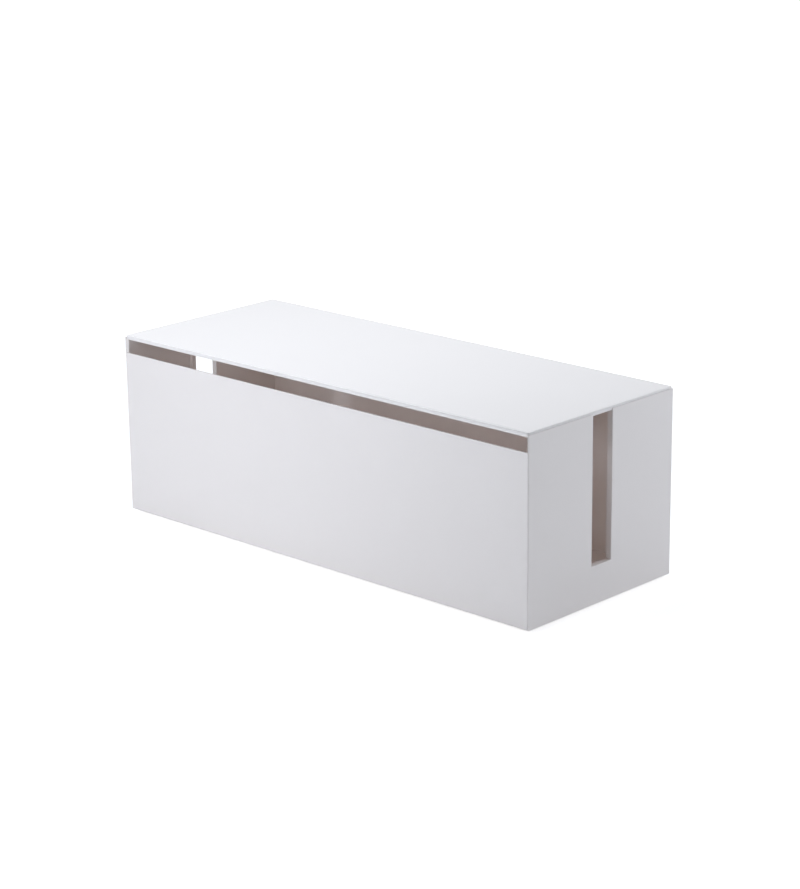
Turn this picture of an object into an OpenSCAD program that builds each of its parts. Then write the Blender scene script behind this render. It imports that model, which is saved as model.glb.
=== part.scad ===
// Cable management box: glued panels, a cord slot in each end and a lift-off lid.
// X runs along the box, Y from front to back and Z up. The origin is on the floor,
// under the middle of the box. All sizes are in millimetres.

/* [Box] */
// Length of the box, end to end
box_l = 400; // [300:5:500]
// Depth of the box, front to back
box_d = 155; // [110:5:220]
// Height of the box on its feet, with its lid on
box_h = 140; // [100:5:200]

/* [Panels] */
// Thickness of the front, rear and end panels
wall_t = 2.2; // [2:0.2:5]
// Thickness of the base panel
base_t = 3; // [2:0.25:6]
// Blunt width left outside the mitre of an end panel, and thickness of its lip round the lid
lip_t = 0.5; // [0.5:0.1:1.2]
// Rounding of the box's upright outer edges
edge_r = 0.5; // [0.2:0.1:0.5]
// Rounding of the box's bottom edges at front and rear
bottom_r = 1.5; // [0.5:0.25:2]
// Width of the fine groove that shows each upright glue joint
seam_v = 0.3; // [0.1:0.1:0.5]

/* [Lid] */
// Thickness of the lid
lid_t = 3; // [2:0.25:5]
// Height of the lid's upper step, which covers the lips of the end panels
lid_step_h = 1.5; // [1:0.25:1.75]
// Distance from the lid's edge in to the outline of the box
lid_inset = 0.4; // [0:0.1:0.4]
// Rounding of the lid's corners in plan
lid_corner_r = 2; // [1:0.25:5]
// Rounding of the lid's top edge
lid_edge_r = 0.8; // [0.3:0.1:1]
// Clearance between the lid's ends and the lips around them
lid_gap = 0.3; // [0.2:0.05:0.6]
// Height of the seam between the lips and the lid's upper step
seam_gap = 0.1; // [0.05:0.05:0.4]

/* [Locating ribs] */
// Length of each rib under the lid
rib_l = 30; // [10:1:40]
// Thickness of a rib
rib_t = 3; // [2:0.25:6]
// Depth of a rib below the lid
rib_h = 5; // [3:0.5:9]
// Lead-in chamfer along a rib's lower outer edge
rib_lead = 1; // [0.5:0.25:1.5]
// Clearance from a rib to the end panel and to the slot frame
rib_gap = 0.5; // [0.3:0.05:0.9]

/* [Gaps and slots] */
// Height of the open gap between the front or rear panel and the lid
gap_h = 10.6; // [6:0.2:30]
// Flat width left on the bevelled top edge of the front and rear panels
gap_edge_t = 0.8; // [0.4:0.1:1.6]
// Width of each cord slot
slot_w = 21; // [10:0.5:40]
// Height of each slot's sill above the floor
slot_sill = 30; // [16:1:60]
// Chamfer around the mouth of a slot
slot_mouth = 0.2; // [0.1:0.1:0.6]

/* [Slot frames] */
// Thickness of the frame behind each slot
frame_t = 2.6; // [1:0.2:4]
// Width of the frame beside and below the slot
frame_w = 4; // [2.5:0.25:8]
// Chamfer along the inner edges of the frame
frame_mouth = 0.3; // [0.2:0.1:0.9]
// Rounding of the frame's lower corners
frame_r = 2; // [1:0.5:2.5]
// Gap between the top of the frame and the lid
frame_gap = 0.3; // [0.1:0.1:0.9]

/* [Feet] */
// Diameter of a foot
foot_d = 14; // [8:1:24]
// How far a foot stands out below the base
foot_h = 2; // [1:0.25:6]
// Depth of the recess that holds a foot
foot_seat = 1; // [0.5:0.25:1.5]
// Clearance around a foot in its recess
foot_gap = 0.15; // [0.05:0.05:0.4]
// Rounding of a foot's lower edge
foot_r = 0.6; // [0.2:0.1:0.9]
// Distance from the ends of the box to the middle of a foot
foot_x = 18; // [18:1:60]
// Distance from the front or rear of the box to the middle of a foot
foot_y = 18; // [18:1:40]

/* [Hidden] */
$fn = 64;
cut = 1;                                 // overshoot of cutters past a face
sliver = 0.01;                           // thickness of the two ends of a flare
wall_z = foot_h;                         // bottom of the panels
lid_z = box_h - lid_t;                   // underside of the lid, top of the ledges
step_z = box_h - lid_step_h;             // underside of the lid's upper step
lip_z = step_z - seam_gap;               // top of the end panels' lips
gap_z = lid_z - gap_h;                   // top of the front and rear panels
inner_x = box_l / 2 - wall_t;            // inner face of an end panel
inner_y = box_d / 2 - wall_t;            // inner face of the front or rear panel
lip_x = box_l / 2 - lip_t;               // inner face of a lip, outer end of a mitre
mitre_y = inner_y + lip_t;               // inner end of a mitre
rib_y = slot_w / 2 + frame_w + rib_gap;  // inner end of a locating rib

shell_white = [0.93, 0.93, 0.92];
lid_white = [0.96, 0.96, 0.96];
frame_white = [0.86, 0.85, 0.84];
rib_white = [0.88, 0.87, 0.86];
foot_clear = [0.80, 0.81, 0.82];

// Corner cutter for an outline: it leaves a round of radius r at the origin's corner,
// where the outline lies towards +X and +Y.
module round_corner(r) {
    difference() {
        translate([-cut, -cut]) square([r + cut, r + cut]);
        translate([r, r]) circle(r);
    }
}

// Copy of a piece made for the right end or the rear, on the side that is asked for.
module on_end(side) {
    mirror([side > 0 ? 0 : 1, 0, 0]) children();
}
module on_long_side(side) {
    mirror([0, side > 0 ? 0 : 1, 0]) children();
}

// Extrusion of a Y-Z outline along X, from x0 over a length.
module along_x(x0, length) {
    translate([x0, 0, 0]) rotate([90, 0, 90]) linear_extrude(length) children();
}

// Extrusion of an X-Z outline along Y, from y0 over a length.
module along_y(y0, length) {
    translate([0, y0 + length, 0]) rotate([90, 0, 0]) linear_extrude(length) children();
}

// Rectangle about the origin with all four corners rounded.
module rounded_plate(length, depth, r) {
    difference() {
        square([length, depth], center = true);
        for (sx = [0, 1], sy = [0, 1])
            mirror([sx, 0]) mirror([0, sy]) translate([-length / 2, -depth / 2]) round_corner(r);
    }
}

// ---- end panels -------------------------------------------------------------

// Outline of an end panel in Y-Z: square at its top, rounded at its two bottom corners.
module end_outline() {
    difference() {
        translate([-box_d / 2, wall_z]) square([box_d, lip_z - wall_z]);
        for (s = [0, 1])
            mirror([s, 0]) translate([-box_d / 2, wall_z]) round_corner(bottom_r);
    }
}

// Flare that chamfers the edge of a slot-shaped hole: the slot's size at x0, and
// wider by the chamfer at x1. It is open at its top.
module slot_flare(x0, x1, chamfer) {
    hull() {
        translate([x0, -slot_w / 2, slot_sill]) cube([sliver, slot_w, box_h]);
        translate([x1, -slot_w / 2 - chamfer, slot_sill - chamfer])
            cube([sliver, slot_w + 2 * chamfer, box_h]);
    }
}

// Right end panel. Its upright edges are mitred, with a blunt outer edge, and the mitres
// stay open to view above the front and rear panels. A rebate along its top leaves a
// ledge for the lid, inside a thin lip.
module end_panel() {
    difference() {
        intersection() {
            along_x(inner_x, wall_t) end_outline();
            linear_extrude(box_h) rounded_plate(box_l, box_d, edge_r);
        }
        for (s = [0, 1])
            mirror([0, s, 0]) linear_extrude(box_h)
                polygon([[inner_x - cut, mitre_y - cut], [lip_x, box_d / 2],
                         [lip_x, box_d / 2 + cut], [inner_x - cut, box_d / 2 + cut]]);
        translate([inner_x - cut, -box_d / 2 - cut, lid_z])
            cube([wall_t - lip_t + cut, box_d + 2 * cut, lid_t]);
        translate([inner_x - cut, -slot_w / 2, slot_sill]) cube([wall_t + 2 * cut, slot_w, box_h]);
        slot_flare(box_l / 2 - slot_mouth, box_l / 2, slot_mouth);
    }
}

module left_end_panel() { color(shell_white) on_end(-1) end_panel(); }
module right_end_panel() { color(shell_white) on_end(1) end_panel(); }

// ---- slot frames ------------------------------------------------------------

// U-shaped frame glued inside the right end panel. It deepens the slot's edge and
// its chamfer keeps the cords off a sharp corner.
module slot_frame() {
    outer_w = slot_w + 2 * frame_w;
    frame_bottom = slot_sill - frame_w;
    difference() {
        along_x(inner_x - frame_t, frame_t) difference() {
            translate([-outer_w / 2, frame_bottom])
                square([outer_w, lid_z - frame_gap - frame_bottom]);
            for (s = [0, 1])
                mirror([s, 0]) translate([-outer_w / 2, frame_bottom]) round_corner(frame_r);
        }
        translate([inner_x - frame_t - cut, -slot_w / 2, slot_sill])
            cube([frame_t + 2 * cut, slot_w, box_h]);
        slot_flare(inner_x - frame_t + frame_mouth, inner_x - frame_t - sliver, frame_mouth);
    }
}

module left_slot_frame() { color(frame_white) on_end(-1) slot_frame(); }
module right_slot_frame() { color(frame_white) on_end(1) slot_frame(); }

// ---- front, rear and base panels --------------------------------------------

// Y-Z profile of the rear panel: rounded bottom outer edge, top edge bevelled inside.
module long_profile() {
    bevel = wall_t - gap_edge_t;
    difference() {
        translate([inner_y, wall_z]) square([wall_t, gap_z - wall_z]);
        translate([box_d / 2, wall_z]) mirror([1, 0]) round_corner(bottom_r);
        polygon([[inner_y - cut, gap_z - bevel - cut], [inner_y - cut, gap_z + cut],
                 [inner_y + bevel + cut, gap_z + cut]]);
    }
}

// Plan of the rear panel: mitred ends that fit the end panels. A fine chamfer on the tip
// of each mitre leaves the groove of the glue joint.
module long_plan() {
    tip = seam_v / 2;
    polygon([[-inner_x, inner_y], [-inner_x, mitre_y], [tip - lip_x, box_d / 2 - tip],
             [seam_v - lip_x, box_d / 2], [lip_x - seam_v, box_d / 2],
             [lip_x - tip, box_d / 2 - tip], [inner_x, mitre_y], [inner_x, inner_y]]);
}

// Rear panel, between the mitres of the end panels.
module long_panel() {
    intersection() {
        along_x(-lip_x, 2 * lip_x) long_profile();
        linear_extrude(box_h) long_plan();
    }
}

module front_panel() { color(shell_white) on_long_side(-1) long_panel(); }
module rear_panel() { color(shell_white) on_long_side(1) long_panel(); }

// Middle of each foot: side is -1 or 1 along X, row is -1 or 1 along Y.
function foot_at(side, row) = [side * (box_l / 2 - foot_x), row * (box_d / 2 - foot_y)];

// Base panel between the four walls, with a round recess for each foot.
module base_panel() {
    color(shell_white) difference() {
        translate([-inner_x, -inner_y, wall_z]) cube([2 * inner_x, 2 * inner_y, base_t]);
        for (side = [-1, 1], row = [-1, 1])
            translate([foot_at(side, row)[0], foot_at(side, row)[1], wall_z - cut])
                cylinder(h = foot_seat + cut, r = foot_d / 2 + foot_gap);
    }
}

// ---- lid --------------------------------------------------------------------

// Profile of the lid across its rounded top edges, of a given width.
module lid_profile(width) {
    difference() {
        translate([-width / 2, lid_z]) square([width, lid_t]);
        for (s = [0, 1])
            mirror([s, 0]) translate([-width / 2, box_h]) mirror([0, 1]) round_corner(lid_edge_r);
    }
}

// Lid: a plain plate. Its ends are stepped, so that the lower layer drops between the
// lips of the end panels and the upper layer covers them.
module lid_panel() {
    length = box_l - 2 * lid_inset;
    depth = box_d - 2 * lid_inset;
    lower_x = lip_x - lid_gap;
    color(lid_white) difference() {
        intersection() {
            linear_extrude(box_h + cut) rounded_plate(length, depth, lid_corner_r);
            along_x(-length / 2, length) lid_profile(depth);
            along_y(-depth / 2, depth) lid_profile(length);
        }
        for (s = [0, 1])
            mirror([s, 0, 0]) translate([lower_x, -box_d / 2, lid_z - cut])
                cube([wall_t, box_d, step_z - lid_z + cut]);
    }
}

// Rib under the lid at the right end, behind the slot frame, with a lead-in chamfer
// on its lower outer edge.
module lid_rib() {
    rib_x = inner_x - rib_gap;
    along_y(rib_y, rib_l)
        polygon([[rib_x - rib_t, lid_z], [rib_x - rib_t, lid_z - rib_h],
                 [rib_x - rib_lead, lid_z - rib_h], [rib_x, lid_z - rib_h + rib_lead],
                 [rib_x, lid_z]]);
}

module lid_rib_left_front() { color(rib_white) on_end(-1) on_long_side(-1) lid_rib(); }
module lid_rib_left_rear() { color(rib_white) on_end(-1) on_long_side(1) lid_rib(); }
module lid_rib_right_front() { color(rib_white) on_end(1) on_long_side(-1) lid_rib(); }
module lid_rib_right_rear() { color(rib_white) on_end(1) on_long_side(1) lid_rib(); }

// ---- feet -------------------------------------------------------------------

// Round silicone foot that stands on the floor and fills its recess in the base.
module foot(side, row) {
    color(foot_clear) translate([foot_at(side, row)[0], foot_at(side, row)[1], 0])
        rotate_extrude() difference() {
            square([foot_d / 2, foot_h + foot_seat]);
            translate([foot_d / 2, 0]) mirror([1, 0]) round_corner(foot_r);
        }
}

module foot_left_front() { foot(-1, -1); }
module foot_left_rear() { foot(-1, 1); }
module foot_right_front() { foot(1, -1); }
module foot_right_rear() { foot(1, 1); }

base_panel();
front_panel();
rear_panel();
left_end_panel();
right_end_panel();
left_slot_frame();
right_slot_frame();
lid_panel();
lid_rib_left_front();
lid_rib_left_rear();
lid_rib_right_front();
lid_rib_right_rear();
foot_left_front();
foot_left_rear();
foot_right_front();
foot_right_rear();
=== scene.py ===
"""Looks of the cable management box: gloss white panels, a lift-off lid and silicone feet."""

import math

import bpy
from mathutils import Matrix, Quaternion, Vector

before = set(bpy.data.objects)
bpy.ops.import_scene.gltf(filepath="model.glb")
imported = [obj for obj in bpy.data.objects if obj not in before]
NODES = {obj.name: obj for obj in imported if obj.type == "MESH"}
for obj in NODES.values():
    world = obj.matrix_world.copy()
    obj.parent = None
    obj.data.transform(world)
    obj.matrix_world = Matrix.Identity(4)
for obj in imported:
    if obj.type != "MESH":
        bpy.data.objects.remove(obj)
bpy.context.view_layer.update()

MM = 0.001

# ---- gloss plastic ----------------------------------------------------------

PANEL_WHITE = (0.965, 0.920, 0.893, 1.0)
# The lid is the same white plastic as the panels. Its cooler tint is painted sheen: it stands in
# for the cool reflection that its top shows.
LID_WHITE_WITH_PAINTED_SHEEN = (0.965, 0.935, 0.915, 1.0)
FRAME_WHITE = (0.965, 0.920, 0.893, 1.0)
PANEL_ROUGHNESS = 0.07
LID_ROUGHNESS = 0.10
FRAME_ROUGHNESS = 0.12
PLASTIC_IOR = 1.60
PLASTIC_DARKEST = 0.975     # share of its colour that is left where its clouds are darkest
PLASTIC_CLOUDS = 14.0       # features to the metre, here about 70 mm across
PLASTIC_WAVES = 45.0        # about 22 mm
PLASTIC_PEEL = 420.0        # about 2.4 mm
PEEL_TO_WAVES = 0.12        # height of the orange peel beside that of the waves
WAVE_HEIGHT = 0.004 * MM
CLOUD_ROUGHENING = 0.05     # most that the clouds add to the roughness
PEEL_ROUGHENING = 0.03      # most that the orange peel adds to it

# ---- silicone ---------------------------------------------------------------

FOOT_MILK = (0.700, 0.710, 0.720, 1.0)
SILICONE_IOR = 1.41
SILICONE_ROUGHNESS = 0.42
SILICONE_DARKEST = 0.9
SILICONE_CLOUDS = 160.0     # about 6 mm
SILICONE_GRAIN = 2600.0     # about 0.4 mm
GRAIN_HEIGHT = 0.02 * MM
GRAIN_ROUGHENING = 0.1

# ---- edges ------------------------------------------------------------------

EDGE_BREAK = 0.15 * MM      # broken edge of a piece, at the most
EDGE_SEGMENTS = 3
EDGE_ANGLE = 30             # degrees, the least turn that counts as an edge
WELD_DISTANCE = 0.001 * MM

# ---- camera -----------------------------------------------------------------

CAMERA_AZIMUTH = 43.40      # degrees round the box, 0 looks along +Y
CAMERA_ELEVATION = 16.69    # degrees above the floor
CAMERA_ROLL = -0.65         # degrees
CAMERA_DISTANCE = 1.865     # metres from the point it looks at
CAMERA_LENS = 103.1         # millimetres
CAMERA_SENSOR = 36.0        # millimetres, on the long side of the picture
LOOK_AT = Vector((0.0050, 0.0068, 0.0750))

# ---- light ------------------------------------------------------------------

DAYLIGHT = (0.885, 0.925, 1.000)            # colour of every lamp
LAMP_TARGET = Vector((0.0, 0.0, 0.07))      # middle of the box, which every lamp faces
LAMPS = (
    # name, place and then width and height in metres, power in watts
    ("key", (-0.15, -0.55, 0.35), 0.25, 0.25, 1.40),
    ("front_strip", (0.0, -1.40, 0.61), 0.90, 0.20, 2.00),
    ("back_right", (1.0, 1.0, 0.58), 0.90, 0.90, 10.5),
    ("back_left", (-1.0, 1.0, 0.58), 0.90, 0.90, 2.90),
    ("left", (-1.36, 0.0, 0.70), 0.90, 0.90, 2.70),
    ("over_lid", (-0.15, 0.0, 0.70), 0.40, 0.30, 1.90),
)
SKY_LIGHT = (0.114, 0.119, 0.129, 1.0)      # world, as far as it lights the box
SKY_SEEN = (1.0, 1.0, 1.0, 1.0)             # world, where it is seen
FLOOR_SIZE = 6.0            # metres
FLOOR_WHITE = (0.80, 0.80, 0.80, 1.0)
FLOOR_GLOW = 0.65           # added where the camera or a reflection sees the floor
GLOW_NEAR = 0.5             # metres from the box, where the floor starts to turn fully white
GLOW_FAR = 1.2              # metres, from where on it is white without any lamp
FULL_GLOW = 1.0
DIFFUSE_BOUNCES = 28        # light reaches the white inside of the box over many bounces
MAX_BOUNCES = 32


class Socket:
    """An output socket of a shader node. Maths on it adds Math nodes."""

    def __init__(self, tree, socket):
        self.tree = tree
        self.socket = socket

    def _math(self, operation, other):
        return self.tree.node("ShaderNodeMath", {"operation": operation}, {0: self, 1: other})

    def __add__(self, other):
        return self._math("ADD", other)

    def __mul__(self, other):
        return self._math("MULTIPLY", other)

    __radd__ = __add__
    __rmul__ = __mul__


class Tree:
    """The node tree of a material or the world, emptied and ready for new nodes."""

    def __init__(self, owner):
        owner.use_nodes = True
        self.nodes = owner.node_tree.nodes
        self.links = owner.node_tree.links
        self.nodes.clear()

    def node(self, kind, settings=None, inputs=None, output=0):
        """Adds a node, first with its settings, then with the values or links of its sockets."""
        made = self.nodes.new(kind)
        for name, value in (settings or {}).items():
            setattr(made, name, value)
        for name, value in (inputs or {}).items():
            if isinstance(value, Socket):
                self.links.new(value.socket, made.inputs[name])
            else:
                made.inputs[name].default_value = value
        return Socket(self, made.outputs[output]) if made.outputs else None


# ---- materials --------------------------------------------------------------


def noise(tree, scale, detail=2.0):
    """Smooth noise from 0 to 1 that stays with its piece, with features 1/scale metres across."""
    place = tree.node("ShaderNodeTexCoord", output="Object")
    inputs = {"Vector": place, "Scale": scale, "Detail": detail, "Roughness": 0.5}
    return tree.node("ShaderNodeTexNoise", {}, inputs)


def mix_colours(tree, share, first, second):
    """The first colour where the share is 0, the second where it is 1."""
    inputs = {0: share, 6: first, 7: second}
    return tree.node("ShaderNodeMix", {"data_type": "RGBA"}, inputs, output=2)


def clouded(tree, clouds, colour, darkest):
    """A colour that the clouds darken, down to a share of it."""
    shade = tuple(darkest * channel for channel in colour[:3]) + (1.0,)
    return mix_colours(tree, clouds, colour, shade)


def set_surface(tree, colour, roughness, ior, relief, relief_height):
    """Surface of a solid plastic with a fine relief."""
    bump = tree.node(
        "ShaderNodeBump", {}, {"Strength": 1.0, "Distance": relief_height, "Height": relief}
    )
    surface = tree.node(
        "ShaderNodeBsdfPrincipled",
        {},
        {"Base Color": colour, "Roughness": roughness, "IOR": ior, "Normal": bump},
    )
    tree.node("ShaderNodeOutputMaterial", {}, {"Surface": surface})


def moulded_plastic(name, colour, roughness):
    """Gloss plastic of moulded sheet: faint clouds, an uneven gloss and a fine orange peel."""
    material = bpy.data.materials.new(name)
    tree = Tree(material)
    clouds = noise(tree, PLASTIC_CLOUDS)
    peel = noise(tree, PLASTIC_PEEL)
    waves = noise(tree, PLASTIC_WAVES, detail=0.0)
    set_surface(
        tree,
        clouded(tree, clouds, colour, PLASTIC_DARKEST),
        roughness + CLOUD_ROUGHENING * clouds + PEEL_ROUGHENING * peel,
        PLASTIC_IOR,
        waves + PEEL_TO_WAVES * peel,
        WAVE_HEIGHT,
    )
    return material


def silicone(name, colour):
    """Milky silicone with a soft sheen and a fine mould texture."""
    material = bpy.data.materials.new(name)
    tree = Tree(material)
    clouds = noise(tree, SILICONE_CLOUDS)
    grain = noise(tree, SILICONE_GRAIN)
    set_surface(
        tree,
        clouded(tree, clouds, colour, SILICONE_DARKEST),
        SILICONE_ROUGHNESS + GRAIN_ROUGHENING * grain,
        SILICONE_IOR,
        grain,
        GRAIN_HEIGHT,
    )
    return material


def dress(node_name, material):
    """Gives a CAD node its finish and breaks its sharp edges a little."""
    node = NODES[node_name]
    node.data.materials.clear()
    node.data.materials.append(material)
    weld = node.modifiers.new("weld", "WELD")
    weld.merge_threshold = WELD_DISTANCE
    bevel = node.modifiers.new("edge_break", "BEVEL")
    bevel.width = EDGE_BREAK
    bevel.segments = EDGE_SEGMENTS
    bevel.limit_method = "ANGLE"
    bevel.angle_limit = math.radians(EDGE_ANGLE)
    bevel.harden_normals = True


def dress_box():
    """Panels, lid with its ribs, slot frames and feet in their finishes."""
    panel = moulded_plastic("panel_white", PANEL_WHITE, PANEL_ROUGHNESS)
    # the lid's cooler colour is painted sheen on the same white plastic as the panels
    lid = moulded_plastic("lid_white", LID_WHITE_WITH_PAINTED_SHEEN, LID_ROUGHNESS)
    slot_frame = moulded_plastic("frame_white", FRAME_WHITE, FRAME_ROUGHNESS)
    foot = silicone("foot_silicone", FOOT_MILK)
    for name in NODES:
        if name.startswith("foot"):
            dress(name, foot)
        elif name.startswith("lid"):
            dress(name, lid)
        elif name.endswith("slot_frame"):
            dress(name, slot_frame)
        else:
            dress(name, panel)


# ---- studio -----------------------------------------------------------------


def seen_directly(tree):
    """1 for camera rays and for the rays of reflections and glass, 0 for diffuse light."""
    camera, glossy, transmission = (
        tree.node("ShaderNodeLightPath", output=f"Is {kind} Ray")
        for kind in ("Camera", "Glossy", "Transmission")
    )
    settings = {"operation": "ADD", "use_clamp": True}
    return tree.node("ShaderNodeMath", settings, {0: camera + glossy, 1: transmission})


def make_floor():
    """Pale floor that reads white where the box leaves it lit, and keeps the shadow of the box."""
    half = FLOOR_SIZE / 2
    mesh = bpy.data.meshes.new("floor")
    corners = [(-half, -half, 0), (half, -half, 0), (half, half, 0), (-half, half, 0)]
    mesh.from_pydata(corners, [], [(0, 1, 2, 3)])
    floor = bpy.data.objects.new("floor", mesh)
    bpy.context.scene.collection.objects.link(floor)
    material = bpy.data.materials.new("floor")
    tree = Tree(material)
    matt = tree.node("ShaderNodeBsdfDiffuse", {}, {"Color": FLOOR_WHITE})
    place = tree.node("ShaderNodeTexCoord", output="Object")
    away = tree.node("ShaderNodeVectorMath", {"operation": "LENGTH"}, {0: place}, output="Value")
    level = tree.node(
        "ShaderNodeMapRange",
        {"interpolation_type": "SMOOTHSTEP"},
        {0: away, 1: GLOW_NEAR, 2: GLOW_FAR, 3: FLOOR_GLOW, 4: FULL_GLOW},
    )
    glow = tree.node("ShaderNodeEmission", {}, {"Strength": level * seen_directly(tree)})
    surface = tree.node("ShaderNodeAddShader", {}, {0: matt, 1: glow})
    tree.node("ShaderNodeOutputMaterial", {}, {"Surface": surface})
    mesh.materials.append(material)


def make_world():
    """White where it is seen, and plain weak daylight for everything else."""
    world = bpy.data.worlds.new("studio")
    bpy.context.scene.world = world
    tree = Tree(world)
    colour = mix_colours(tree, seen_directly(tree), SKY_LIGHT, SKY_SEEN)
    sky = tree.node("ShaderNodeBackground", {}, {"Color": colour})
    tree.node("ShaderNodeOutputWorld", {}, {"Surface": sky})


def make_lamps():
    """Soft rectangular lamps that face the box. Reflections show the white studio instead."""
    for name, place, width, height, power in LAMPS:
        light = bpy.data.lights.new(name, "AREA")
        light.shape = "RECTANGLE"
        light.size = width
        light.size_y = height
        light.energy = power
        light.color = DAYLIGHT
        lamp = bpy.data.objects.new(name, light)
        lamp.location = place
        lamp.rotation_mode = "QUATERNION"
        lamp.rotation_quaternion = (LAMP_TARGET - Vector(place)).to_track_quat("-Z", "Y")
        lamp.visible_camera = False
        lamp.visible_glossy = False
        bpy.context.scene.collection.objects.link(lamp)


def make_camera():
    """Camera at its azimuth, elevation and roll around the point it looks at."""
    azimuth = math.radians(CAMERA_AZIMUTH)
    elevation = math.radians(CAMERA_ELEVATION)
    back = Vector(
        (
            math.sin(azimuth) * math.cos(elevation),
            -math.cos(azimuth) * math.cos(elevation),
            math.sin(elevation),
        )
    )
    data = bpy.data.cameras.new("camera")
    data.lens = CAMERA_LENS
    data.sensor_width = CAMERA_SENSOR
    camera = bpy.data.objects.new("camera", data)
    camera.rotation_mode = "QUATERNION"
    roll = Quaternion((0, 0, 1), math.radians(CAMERA_ROLL))
    camera.rotation_quaternion = (-back).to_track_quat("-Z", "Y") @ roll
    camera.location = LOOK_AT + CAMERA_DISTANCE * back
    bpy.context.scene.collection.objects.link(camera)
    bpy.context.scene.camera = camera


def main():
    dress_box()
    make_floor()
    make_world()
    make_lamps()
    make_camera()
    scene = bpy.context.scene
    scene.view_settings.view_transform = "Standard"
    scene.cycles.max_bounces = MAX_BOUNCES
    scene.cycles.diffuse_bounces = DIFFUSE_BOUNCES


main()
